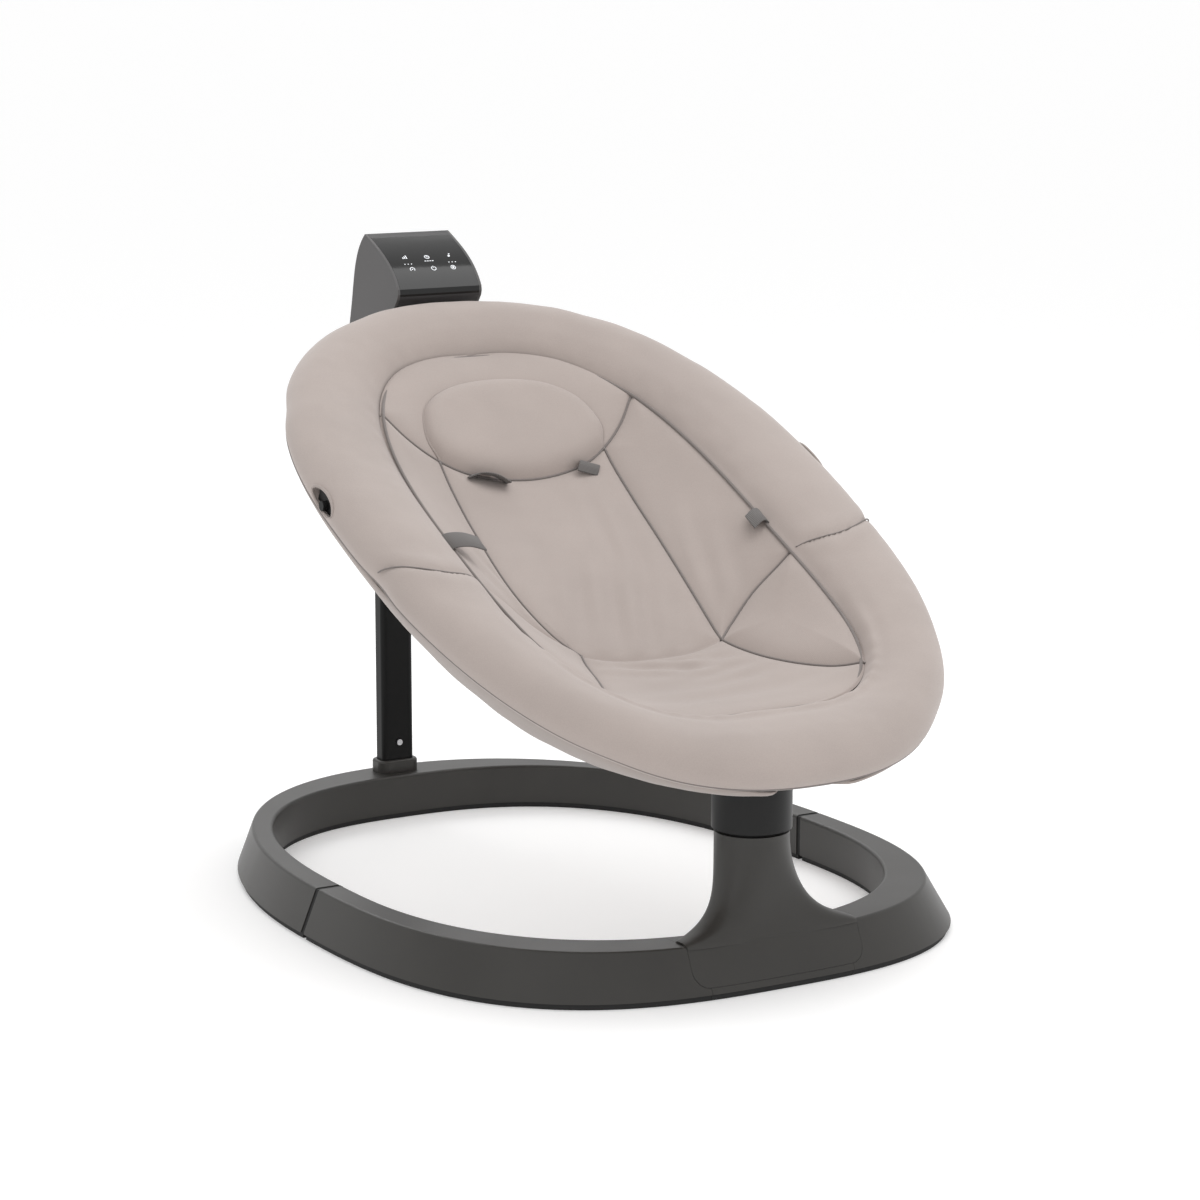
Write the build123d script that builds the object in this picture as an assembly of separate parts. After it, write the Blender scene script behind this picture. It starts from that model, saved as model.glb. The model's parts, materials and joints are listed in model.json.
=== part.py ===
from build123d import *
import math
import os

# Electric baby swing: an oval floor ring, a rear post with a drive head, a front
# pedestal, and an oval padded seat that sways about one tilted axis between them.
# Millimetres.  +Z is up, the rear post is at +Y, the foot end of the seat at -Y.
# Everything is laid out from the widest line of the floor ring, and export() then
# moves it by FRAME_SHIFT_Y so that the origin is the bottom centre of the whole.

FRAME_SHIFT_Y = -19.0

# Floor ring.  An outline is (half width, front reach, rear reach, front and rear
# exponents of the superellipse).
RING_HEIGHT = 49.5
RING_WALL = 3.0
FOOT_HEIGHT = 6.0
OUTER_BOTTOM = (321.0, 371.0, 466.0, 2.85, 2.20)
OUTER_TOP = (303.0, 353.0, 454.0, 2.65, 2.20)
INNER = (275.0, 315.0, 401.0, 2.42, 2.55)
FRONT_SEAM_X = 97.0
FRONT_SEAM_CORNER = 16.0
REAR_JOINT_Y = 17.0
JOINT_FLANGE = 6.4
JOINT_GAP = 0.3
TRAY_TOP = 12.0
COVER_THICKNESS = 2.5

# Front pedestal and drum.
NECK_Y = -309.0
NECK_RADIUS = 36.5
NECK_TOP = 143.0
DRUM_RADIUS = 39.0
DRUM_BOTTOM = 146.5
DRUM_TOP = 197.0
DRUM_WALL = 3.0

# Rear post: a rounded rectangular tube on a stub.
POST_WIDTH = 39.0
POST_DEPTH = 22.0
POST_CORNER = 6.0
POST_WALL = 1.6
POST_Y = 430.5
POST_BOTTOM = 12.0
POST_TOP = 500.0
STUB_TOP = 112.0
COLLAR_TOP = 64.0
COLLAR_MARGIN = 5.0
SNAP_Z = 84.0
SNAP_RADIUS = 3.4

# Swing axis: it rises to the rear through the drum and the drive head.
AXIS_TILT = 30.0
PIVOT_Z = 180.0
AXIS_LENGTH = 738.0
PIN_RADIUS = 5.0
SHAFT_RADIUS = 6.0
RUNNING_GAP = 0.04
EYE_HALF = 11.0
EYE_RADIUS = 14.0
EAR = 8.0

# Drive head.
HEAD_HALF_WIDTH = 51.5
CHEEK = 3.0
HEAD_WALL = 3.0
# Its side profile in Y and Z, in three runs, and the point it is drawn in towards.
HEAD_REAR = ((388, 664), (407, 641), (420, 595), (436, 530), (449, 470))
HEAD_FRONT = ((312.5, 609.5), (323, 624), (350, 645), (388, 664))
HEAD_UNDERSIDE = (
    (449, 470), (400, 470), (377, 497), (322, 588), (313.5, 599), (311.8, 604), (312.5, 609.5),
)
HEAD_CENTRE = (381.75, 567.0)
HEAD_HALF_SIZE = (67.25, 97.0)

# Gear pair on the swing shaft.
GEAR_MODULE = 1.5
SECTOR_TEETH = 42
PINION_TEETH = 14
BACKLASH = 0.36
GEAR_ADDENDUM = 0.8
GEAR_DEDENDUM = 1.2
PRESSURE_ANGLE = math.radians(20)
GEAR_START = 31.0
GEAR_WIDTH = 8.0
CENTRE_DISTANCE = GEAR_MODULE * (SECTOR_TEETH + PINION_TEETH) / 2
MOTOR_SHAFT_RADIUS = 2.0
MOTOR_START = 54.6
MOTOR_LENGTH = 29.0
MOTOR_RADIUS = 14.0
PLATES = ((19.0, 27.0), (46.0, 54.0))
BEARING_RADIUS = 12.0

# Seat: local X is across, local Y climbs towards the head end in the plane of the
# rim, local Z is square to the rim.
SEAT_TILT = 26.0
SEAT_Y = -50.0
SEAT_Z = 401.0
RIM_WIDEST = 54.0
RIM_OUTER = (287.0, 471.0, 354.0, 2.4, 2.2)
RIM_OPENING = (182.0, 332.0, 326.0, 3.0, 2.7)
RIM_HALF_THICKNESS = 16.0
RIM_ROUND = 12.0
RIM_WALL = 8.0
TUBE_INSET = 19.0
TUBE_RADIUS = 8.0
TUBE_WALL = 1.5
SEAT_JOINT_V = 80.0
SEAT_JOINT_HALF = 20.0
BUTTON_RADIUS = 5.0
BUTTON_LENGTH = 11.0

# Seat bowl, level by level: (depth, half width, front end, rear end).
SLING_LEVELS = (
    (-16.4, 250, -375, 370),
    (-40, 232, -338, 328),
    (-62, 206, -288, 276),
    (-88, 160, -214, 176),
    (-102, 116, -172, 60),
    (-111, 60, -146, -50),
)
HOLLOW_LEVELS = (
    (-16.0, 171, -310, 300),
    (-32, 146, -272, 232),
    (-48, 112, -224, 172),
    (-62, 92, -178, 66),
    (-72, 66, -152, -50),
)
SLING_THICKNESS = 4.0
LINER_THICKNESS = 12.0
SOFT_GAP = 0.4


def superellipse(outline, inset=0.0, centre_y=0.0, count=48):
    """Points round an outline that has its own front and rear halves."""
    half_width, front, rear, front_power, rear_power = outline
    points = []
    for k in range(count):
        angle = 2 * math.pi * k / count
        c, s = math.cos(angle), math.sin(angle)
        power = 2 / (front_power if s < 0 else rear_power)
        reach = (front if s < 0 else rear) - inset
        x = (half_width - inset) * math.copysign(abs(c) ** power, c)
        y = reach * math.copysign(abs(s) ** power, s)
        points.append((x, centre_y + y))
    return points


def outline_face(points, z):
    edge = Spline([(x, y, z) for x, y in points], periodic=True)
    return Face(Wire(edge))


def slab(x0, x1, y0, y1, z0, z1):
    """A box between six planes."""
    size = (x1 - x0, y1 - y0, z1 - z0)
    centre = ((x0 + x1) / 2, (y0 + y1) / 2, (z0 + z1) / 2)
    return Pos(*centre) * Box(*size)


def rod(radius, y0, y1):
    """A cylinder along Y between two planes."""
    return Pos(0, (y0 + y1) / 2, 0) * Rot(90, 0, 0) * Cylinder(radius, y1 - y0)


def upright(radius, z0, z1):
    return Pos(0, 0, (z0 + z1) / 2) * Cylinder(radius, z1 - z0)


def mirrored(part):
    return mirror(part, about=Plane.YZ)


# ---------------------------------------------------------------- floor ring


def ring_solid(inset, z0, z1):
    """The ring between two heights, with every wall moved inwards by inset."""
    outer = loft([
        outline_face(superellipse(OUTER_BOTTOM, inset), FOOT_HEIGHT),
        outline_face(superellipse(OUTER_TOP, inset), RING_HEIGHT),
    ], ruled=True)
    core = extrude(outline_face(superellipse(INNER, -inset), 0), RING_HEIGHT + 1)
    return (outer - core) & slab(-400, 400, -500, 500, z0, z1)


def ring_shell():
    solid = ring_solid(0, FOOT_HEIGHT, RING_HEIGHT)
    solid = fillet(solid.edges().group_by(Axis.Z)[-1], 3.5)
    return solid - ring_solid(RING_WALL, FOOT_HEIGHT, RING_HEIGHT - RING_WALL)


def left_zone(z0=0, z1=RING_HEIGHT + 1):
    """The stretch of ring between the front seam and the rear joint, at -X."""
    joint = REAR_JOINT_Y - JOINT_FLANGE / 2 - JOINT_GAP
    zone = slab(-400, 0, -500, joint, z0, z1)
    return zone - front_cap_zone(0) - front_floor_zone(0)


def rear_zone(z0=0, z1=RING_HEIGHT + 1):
    joint = REAR_JOINT_Y + JOINT_FLANGE / 2 + JOINT_GAP
    return slab(-400, 400, joint, 500, z0, z1)


def front_cap_zone(gap):
    """The pedestal's stretch of ring: its lower corners are rounded off."""
    x = FRONT_SEAM_X - gap
    zone = slab(-x, x, -500, 0, TRAY_TOP + gap, NECK_TOP + 1)
    return fillet(zone.edges().filter_by(Axis.Y).group_by(Axis.Z)[0], FRONT_SEAM_CORNER)


def front_floor_zone(gap):
    """The strip below the pedestal that its floor tray and foot strip take up."""
    x = FRONT_SEAM_X - FRONT_SEAM_CORNER - gap
    return slab(-x, x, -500, 0, -1, TRAY_TOP)


def pedestal_flare(inset, z0, z1):
    """The flared neck, lofted through its cross-sections.

    Each is (height, half width, front, widest line, rear, exponent of the front half).
    The high exponents low down carry the ring's outer wall on up into the neck.
    """
    sections = (
        (RING_HEIGHT - 6, 112, -354.6, -332.7, -315, 3.2),
        (RING_HEIGHT + 4, 91, -351.8, -330.5, -311, 5.0),
        (64, 67, -349.3, -325, -301, 4.0),
        (80, 50, -347, -318.7, -290, 3.2),
        (102, 40.5, -346, -312.5, -279, 2.5),
        (124, 37, -345.6, -309.5, -273.4, 2.1),
        (NECK_TOP, NECK_RADIUS, NECK_Y - NECK_RADIUS, NECK_Y, NECK_Y + NECK_RADIUS, 2),
    )
    faces = []
    for z, half_width, front, widest, rear, front_power in sections:
        outline = (half_width, widest - front, rear - widest, front_power, 2)
        faces.append(outline_face(superellipse(outline, inset, widest, 40), z))
    return loft(faces) & slab(-200, 200, -400, -200, z0, z1)


def front_pedestal(shell):
    """The ring's front segment with the hollow neck that grows out of it."""
    zone = front_cap_zone(JOINT_GAP)
    inner_flare = pedestal_flare(RING_WALL, RING_HEIGHT - 5, NECK_TOP - 4)
    neck = pedestal_flare(0, RING_HEIGHT - RING_WALL + 0.2, NECK_TOP) & zone
    return ((shell & zone) - inner_flare) + (neck - inner_flare)


def joint_plug(zone_inner, flange=None):
    """A spigot that fills the hollow of two ring segments across their joint."""
    plug = ring_solid(RING_WALL + 0.25, TRAY_TOP + 0.8, RING_HEIGHT - RING_WALL - 0.4)
    plug &= zone_inner
    if flange is None:
        return plug
    ring = ring_solid(0.8, FOOT_HEIGHT + 0.4, RING_HEIGHT - 0.8)
    return plug + (ring & flange)


def ring_screw(x, y):
    head = upright(3.2, FOOT_HEIGHT + 0.1, FOOT_HEIGHT + 2.4)
    return Pos(x, y, 0) * (head + upright(1.5, FOOT_HEIGHT + 2, 28))


def post_outline(margin):
    return RectangleRounded(
        POST_WIDTH + 2 * margin, POST_DEPTH + 2 * margin, POST_CORNER + margin
    )


def post_prism(margin, z0, z1):
    return Pos(0, POST_Y, z0) * extrude(post_outline(margin), z1 - z0)


def snap_hole():
    front = POST_Y - POST_DEPTH / 2
    return Pos(0, 0, SNAP_Z) * rod(SNAP_RADIUS + 0.15, front - 2, front + 6)


def base_nodes():
    shell = ring_shell()
    foot_ring = extrude(outline_face(superellipse(OUTER_BOTTOM, 3), 0), FOOT_HEIGHT)
    foot_ring -= extrude(outline_face(superellipse(INNER, -3), -1), FOOT_HEIGHT + 2)
    covers = ring_solid(RING_WALL + 0.2, FOOT_HEIGHT, FOOT_HEIGHT + COVER_THICKNESS)
    side_screw = ring_screw(-293.5, 4)
    front_screw = ring_screw(-108, -329)
    left_screws = side_screw + front_screw
    band = ring_solid(0, FOOT_HEIGHT, TRAY_TOP) & front_floor_zone(JOINT_GAP)

    front_plug = joint_plug(slab(-FRONT_SEAM_X - 18, -FRONT_SEAM_X + 16, -500, 0, 0, 60))
    flange = JOINT_FLANGE / 2
    rear_plug = joint_plug(
        slab(-400, 0, REAR_JOINT_Y - 22, REAR_JOINT_Y + 22, 0, 60),
        slab(-400, 0, REAR_JOINT_Y - flange, REAR_JOINT_Y + flange, 0, 60),
    )
    front_plug -= left_screws
    rear_plug -= left_screws
    socket = slab(-26, 26, POST_Y - 21, POST_Y + 16, 9, RING_HEIGHT - RING_WALL - 0.3)
    socket -= post_prism(0.2, 0, 60)
    socket &= ring_solid(RING_WALL + 0.5, 9, RING_HEIGHT)

    left_segment = shell & left_zone()
    left_cover = (covers & left_zone()) - left_screws
    left_foot = foot_ring & left_zone()
    stub = post_prism(-POST_WALL - 0.15, POST_BOTTOM, STUB_TOP)
    stub -= post_prism(-POST_WALL - 2.4, POST_BOTTOM + 3, STUB_TOP + 1)
    post = post_prism(0, POST_BOTTOM, POST_TOP) - post_prism(-POST_WALL, 0, POST_TOP + 1)
    collar = post_prism(COLLAR_MARGIN, RING_HEIGHT, COLLAR_TOP)
    collar = fillet(collar.edges().group_by(Axis.Z)[-1], 3)

    return {
        "front_pedestal": front_pedestal(shell),
        "front_base_tray": band,
        "left_base_segment": left_segment,
        "right_base_segment": mirrored(left_segment),
        "rear_base_segment": (shell & rear_zone()) - post_prism(0.2, 20, 60),
        "side_bottom_covers": Compound([left_cover, mirrored(left_cover)]),
        "rear_bottom_cover": covers & rear_zone(),
        "front_joint_plugs": Compound([front_plug, mirrored(front_plug)]),
        "rear_joint_plugs": Compound([rear_plug, mirrored(rear_plug)]),
        "base_screws": Compound([
            side_screw, front_screw, mirrored(side_screw), mirrored(front_screw),
        ]),
        "front_foot_strip": foot_ring & front_floor_zone(JOINT_GAP),
        "left_foot_strip": left_foot,
        "right_foot_strip": mirrored(left_foot),
        "rear_foot_strip": foot_ring & rear_zone(),
        "post_socket": socket,
        "post_stub": stub - snap_hole(),
        "rear_post": post - snap_hole() - post_screws(),
        "post_collar": collar - post_prism(0.2, 40, 80),
    }


# ------------------------------------------------------- pivots on the swing axis

AXIS_FRONT = Location((0, NECK_Y, PIVOT_Z), (AXIS_TILT, 0, 0))
AXIS_REAR = AXIS_FRONT * Location((0, AXIS_LENGTH, 0))
SEAT = Location((0, SEAT_Y, SEAT_Z), (SEAT_TILT, 0, 0))


def front_drum():
    body = upright(DRUM_RADIUS, DRUM_BOTTOM, DRUM_TOP)
    body = fillet(body.edges().group_by(Axis.Z)[-1], 1.5)
    body -= upright(DRUM_RADIUS - DRUM_WALL, DRUM_BOTTOM + DRUM_WALL, DRUM_TOP + 1)
    body += upright(NECK_RADIUS - 5, NECK_TOP, DRUM_BOTTOM)
    return Pos(0, NECK_Y, 0) * body


def front_pivot_yoke():
    """Two ears, square to the axis, standing on the floor of the drum."""
    reach = EYE_HALF + 0.6 + EAR
    block = slab(-14, 14, -reach, reach, -60, 0) + rod(13, -reach, reach)
    block -= slab(-20, 20, -EYE_HALF - 0.6, EYE_HALF + 0.6, -EYE_RADIUS - 3, 40)
    block -= rod(PIN_RADIUS, -reach - 1, reach + 1)
    inside = upright(DRUM_RADIUS - DRUM_WALL - 1, DRUM_BOTTOM + DRUM_WALL, 260)
    return (AXIS_FRONT * block) & (Pos(0, NECK_Y, 0) * inside)


def front_swing_arm():
    """Eye on the pivot pin, neck out of the drum, and a plate to the front tube."""
    neck = slab(-10, 10, -EYE_HALF, EYE_HALF, 0, 26)
    eye = AXIS_FRONT * (rod(EYE_RADIUS, -EYE_HALF, EYE_HALF) + neck)
    plate = slab(-20, 20, -396, -303, 205, 212.5)
    saddle = slab(-28, 28, -417, -394, 209, 225)
    arm = eye + plate + saddle
    arm -= AXIS_FRONT * rod(PIN_RADIUS + 3, -30, 30)
    return arm - SEAT * lower_tube(TUBE_RADIUS + 0.05)


def front_pivot_bush():
    outer = rod(PIN_RADIUS + 3, -EYE_HALF, EYE_HALF)
    return AXIS_FRONT * (outer - rod(PIN_RADIUS + RUNNING_GAP, -30, 30))


def front_pivot_pin():
    reach = EYE_HALF + 0.6 + EAR
    return AXIS_FRONT * rod(PIN_RADIUS, -reach, reach)


def rear_swing_hub():
    """Boss on the swing shaft with a saddle under the rear of the seat tube."""
    hub = rod(20, -19, -5) + slab(-24, 24, -26, -5, 10, 33)
    hub -= rod(SHAFT_RADIUS, -30, 10)
    return AXIS_REAR * hub - SEAT * upper_tube(TUBE_RADIUS + 0.05)


# ----------------------------------------------------------------- drive head

def head_profile(inset):
    """The side profile, drawn in towards its centre for an inner wall."""
    def drawn_in(points):
        return [
            tuple(c + (p - c) * (1 - inset / h)
                  for p, c, h in zip(point, HEAD_CENTRE, HEAD_HALF_SIZE))
            for point in points
        ]
    rear = Spline(drawn_in(HEAD_REAR))
    front = Spline(drawn_in(HEAD_FRONT))
    return make_face([rear, front, Polyline(drawn_in(HEAD_UNDERSIDE))])


def head_block(inset, half_width):
    """The head's side profile as a solid across X."""
    side = Plane(origin=(0, 0, 0), x_dir=(0, 1, 0), z_dir=(1, 0, 0))
    solid = extrude(side * head_profile(inset), half_width, both=True)
    return solid


def panel_zone():
    """Everything in front of and above the seam between panel and rear shell."""
    return Pos(0, 314.5, 600) * Rot(33, 0, 0) * slab(-80, 80, -40, 87, 2.5, 80)


def shaft_hole(radius):
    return AXIS_REAR * rod(radius, 0, 26)


def head_shells():
    inner = HEAD_HALF_WIDTH - CHEEK
    band = head_block(0, inner - 0.2) - head_block(HEAD_WALL, inner + 1)
    cheek = head_block(0, HEAD_HALF_WIDTH) & slab(inner, 80, 0, 500, 0, 700)
    grille = [Pos(inner, 385 + 7 * i, 560 + 7 * k) * Rot(0, 90, 0) * Cylinder(1.3, 20)
              for i in range(-2, 3) for k in range(-2, 3)]
    right = cheek
    for hole in grille:
        right -= hole
    bottom_hole = Pos(30, 426, 470) * Cylinder(5.6, 20)
    return {
        "touch_panel": band & panel_zone(),
        "head_rear_shell": band - panel_zone() - shaft_hole(8) - bottom_hole
        - post_prism(0.3, 460, POST_TOP + 1),
        "head_left_cheek": mirrored(cheek),
        "head_right_cheek": right,
    }


def gear_tooth_half_angle(radius, teeth):
    """Half the angle that a tooth fills at a radius, thinned for backlash."""
    pitch = GEAR_MODULE * teeth / 2
    base = pitch * math.cos(PRESSURE_ANGLE)
    flank = math.acos(min(1.0, base / radius))
    involute = math.tan(flank) - flank
    at_pitch = math.tan(PRESSURE_ANGLE) - PRESSURE_ANGLE
    thinning = BACKLASH / 4 / pitch
    return math.pi / (2 * teeth) - thinning + at_pitch - involute


def gear_outline(teeth, first, last, turn=0.0):
    """A gear outline over some of its teeth; angles run from +Z towards +X."""
    pitch = GEAR_MODULE * teeth / 2
    root = pitch - GEAR_DEDENDUM * GEAR_MODULE
    tip = pitch + GEAR_ADDENDUM * GEAR_MODULE
    base = pitch * math.cos(PRESSURE_ANGLE)
    radii = [max(base, root) + (tip - max(base, root)) * k / 4 for k in range(5)]
    points = []
    for tooth in range(first, last + 1):
        centre = 2 * math.pi * (tooth + turn) / teeth
        half = [gear_tooth_half_angle(radius, teeth) for radius in radii]
        rise = [(r, -a) for r, a in zip(radii, half)]
        if base > root:
            rise.insert(0, (root, -half[0]))
        fall = [(r, -a) for r, a in reversed(rise)]
        points += [(r * math.sin(centre + a), r * math.cos(centre + a)) for r, a in rise + fall]
    return points


def gear_solid(points, bore, y0, width):
    side = Plane(origin=(0, y0, 0), x_dir=(1, 0, 0), z_dir=(0, -1, 0))
    outline = make_face(Polyline(points, close=True))
    solid = extrude(side * outline, -width)
    return solid - rod(bore, y0 - 1, y0 + width + 1)


def sector_gear():
    teeth = gear_outline(SECTOR_TEETH, -3, 3)
    points = [(8, -14), (-8, -14), (-14, -4), *teeth, (14, -4)]
    return AXIS_REAR * gear_solid(points, SHAFT_RADIUS, GEAR_START, GEAR_WIDTH)


def pinion():
    teeth = gear_outline(PINION_TEETH, 0, PINION_TEETH - 1, 0.5)
    gear = gear_solid(teeth, MOTOR_SHAFT_RADIUS, GEAR_START, GEAR_WIDTH)
    return AXIS_REAR * Pos(0, 0, CENTRE_DISTANCE) * gear


def motor_shaft():
    shaft = rod(MOTOR_SHAFT_RADIUS, GEAR_START - 4, MOTOR_START + MOTOR_LENGTH - 4)
    return AXIS_REAR * Pos(0, 0, CENTRE_DISTANCE) * shaft


def drive_motor():
    end = MOTOR_START + MOTOR_LENGTH
    can = rod(MOTOR_RADIUS, MOTOR_START, end) + rod(5, MOTOR_START - 2, MOTOR_START)
    can -= rod(MOTOR_SHAFT_RADIUS + RUNNING_GAP, 0, end - 3)
    return AXIS_REAR * Pos(0, 0, CENTRE_DISTANCE) * can


def head_chassis():
    """Two bearing plates on a floor web, with a leg sleeved over the post top."""
    frame = slab(-27, 27, PLATES[0][0], PLATES[1][1], -26, -20)
    for y0, y1 in PLATES:
        frame += slab(-27, 27, y0, y1, -26, 56)
        frame -= rod(BEARING_RADIUS, y0 - 1, y1 + 1)
    frame -= Pos(0, 0, CENTRE_DISTANCE) * rod(6, 0, 60)
    frame = AXIS_REAR * frame
    sleeve = post_prism(4, 480, POST_TOP + 3) - post_prism(0.2, 470, POST_TOP)
    rib = slab(-12, 12, 380, 422, POST_TOP + 2, 552)
    chassis = frame + sleeve + (rib - AXIS_REAR * slab(-20, 20, 0, 90, -20, 80))
    chassis &= head_block(HEAD_WALL + 0.4, 46)
    return chassis - post_screws()


def swing_bearings():
    rings = [rod(BEARING_RADIUS, y0, y1) - rod(SHAFT_RADIUS + RUNNING_GAP, y0 - 1, y1 + 1)
             for y0, y1 in PLATES]
    return Compound([AXIS_REAR * ring for ring in rings])


def post_screws():
    front = POST_Y - POST_DEPTH / 2 - 6
    screw = rod(3, front, front + 2) + rod(1.5, front, front + 12)
    return Compound([Pos(x, 0, 490) * screw for x in (-8, 8)])


def dc_inlet():
    body = upright(5.5, 466, 484) + upright(8, 466, 469.8)
    return Pos(30, 426, 0) * (body - upright(2.8, 460, 475.5))


def control_board():
    return Pos(0, 351, 631.5) * Rot(37, 0, 0) * Box(78, 40, 1.6)


def speaker():
    cone = Rot(0, 90, 0) * (Cylinder(19, 5) + Pos(0, 0, -6) * Cylinder(11, 8))
    return Pos(HEAD_HALF_WIDTH - CHEEK - 3, 385, 560) * cone


def head_nodes():
    nodes = head_shells()
    shaft = AXIS_REAR * rod(SHAFT_RADIUS, -19, 60)
    nodes.update({
        "head_chassis": head_chassis(),
        "swing_bearings": swing_bearings(),
        "post_screws": post_screws(),
        "drive_motor": drive_motor(),
        "control_board": control_board(),
        "speaker": speaker(),
        "dc_inlet": dc_inlet(),
        "swing_shaft": shaft,
        "sector_gear": sector_gear(),
        "motor_pinion": pinion(),
        "motor_shaft": motor_shaft(),
    })
    return nodes


# ----------------------------------------------------------------------- seat


def tube_path(start, end, count=15):
    """Part of the seat tube's centre line, by the angle round the outline."""
    half_width, front, rear, front_power, rear_power = RIM_OUTER
    points = []
    for k in range(count):
        angle = start + (end - start) * k / (count - 1)
        c, s = math.cos(angle), math.sin(angle)
        power = 2 / (front_power if s < 0 else rear_power)
        reach = (front if s < 0 else rear) - TUBE_INSET
        x = (half_width - TUBE_INSET) * math.copysign(abs(c) ** power, c)
        y = RIM_WIDEST + reach * math.copysign(abs(s) ** power, s)
        points.append((x, y, -2))
    return Spline(points)


def swept_tube(path, radius):
    section = Plane(origin=path @ 0, z_dir=path % 0) * Circle(radius)
    return sweep(section, path)


TUBE_ANGLE = math.asin(((SEAT_JOINT_V - RIM_WIDEST) / (RIM_OUTER[2] - TUBE_INSET)) ** 1.1)


def upper_tube(radius):
    return swept_tube(tube_path(TUBE_ANGLE, math.pi - TUBE_ANGLE), radius)


def lower_tube(radius):
    return swept_tube(tube_path(TUBE_ANGLE, -math.pi - TUBE_ANGLE, 25), radius)


def bowl(levels, lift=0.0, inset=0.0):
    """The solid inside a bowl surface, from its lowest level to its mouth."""
    faces = []
    for depth, half_width, front, rear in levels:
        half_length = (rear - front) / 2
        outline = (half_width, half_length, half_length, 2.5, 2.4)
        points = superellipse(outline, inset, (front + rear) / 2, 36)
        faces.append(outline_face(points, depth + lift))
    return loft(faces)


def below(depth):
    return slab(-400, 400, -500, 500, -300, depth)


def lens_outline(ends, bulges):
    """A closed leaf between two ends, bowed out through one point on each side."""
    start, end = ends
    first, second = bulges
    return [ThreePointArc(start, first, end), ThreePointArc(end, second, start)]


def hollow_layer(thickness, outline):
    """A pad of even thickness lying on the hollow, inside an outline seen from above."""
    under = bowl(HOLLOW_LEVELS, SOFT_GAP, SOFT_GAP)
    over = bowl(HOLLOW_LEVELS, SOFT_GAP + thickness, SOFT_GAP + thickness * 0.6)
    column = Pos(0, 0, -150) * extrude(make_face(outline), 150 - 20)
    return (under & column) - over


def window(side):
    """The gap in the rim cover at a tube joint, open to the outside."""
    zone = slab(246, 300, SEAT_JOINT_V - 22, SEAT_JOINT_V + 22, -14.5, 10.5)
    return zone if side > 0 else mirrored(zone)


def rim_cover():
    outer = outline_face(superellipse(RIM_OUTER, 0, RIM_WIDEST), -RIM_HALF_THICKNESS)
    inner = outline_face(superellipse(RIM_OPENING), -RIM_HALF_THICKNESS)
    thickness = 2 * RIM_HALF_THICKNESS
    body = fillet(extrude(outer, thickness).edges(), RIM_ROUND) - extrude(inner, thickness)
    floor = RIM_WALL - RIM_HALF_THICKNESS
    height = thickness - 2 * RIM_WALL
    hollow = outline_face(superellipse(RIM_OUTER, RIM_WALL, RIM_WIDEST), floor)
    island = outline_face(superellipse(RIM_OPENING, -RIM_WALL), floor)
    body -= extrude(hollow, height) - extrude(island, height)
    body -= upper_tube(TUBE_RADIUS + SOFT_GAP)
    body -= lower_tube(TUBE_RADIUS + SOFT_GAP)
    body = SEAT * (body - window(1) - window(-1))
    body -= AXIS_REAR * (rod(21, -22, -3) + slab(-25, 25, -27.5, -3.5, 0, 34.5))
    return body - slab(-29, 29, -430, -390, 190, 226) - slab(-21, 21, -400, -290, 190, 213.5)


def ring_joint():
    """Sleeve where the two seat tubes meet, with the bore of its release button."""
    body = slab(252, 284, SEAT_JOINT_V - SEAT_JOINT_HALF, SEAT_JOINT_V + SEAT_JOINT_HALF, -13, 9)
    body = fillet(body.edges(), 3)
    body -= upper_tube(TUBE_RADIUS + 0.05)
    body -= lower_tube(TUBE_RADIUS + 0.05)
    bore = Rot(0, 90, 0) * Cylinder(BUTTON_RADIUS + 0.15, 22)
    return body - Pos(286.5, SEAT_JOINT_V, -2) * bore


def ring_button():
    """A short round button; its face stands 5.5 mm out of the sleeve."""
    return Pos(284, SEAT_JOINT_V, -2) * Rot(0, 90, 0) * Cylinder(BUTTON_RADIUS, BUTTON_LENGTH)


def strap(width, x, v, w, yaw):
    """A short length of webbing standing out of its slot."""
    return Pos(x, v, w) * Rot(0, 0, yaw) * Rot(12, 0, 0) * Box(width, 25, 2.2)


def seat_screws():
    """Screws up through the hub and the arm into the seat tube."""
    screw = upright(2, 0, 24) + upright(3.6, -3, 0)
    rear = [AXIS_REAR * Pos(x, -15.5, 10) * screw for x in (-17, 17)]
    short = upright(2, 0, 12) + upright(3.6, -3, 0)
    front = [Pos(x, -406.5, 209) * short for x in (-21, 21)]
    return Compound(rear + front)


def post_snap_button():
    front = POST_Y - POST_DEPTH / 2
    button = rod(SNAP_RADIUS, front - 2.2, front + 5) + rod(4.8, front + 4.1, front + 5.8)
    return Pos(0, 0, SNAP_Z) * button


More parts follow.
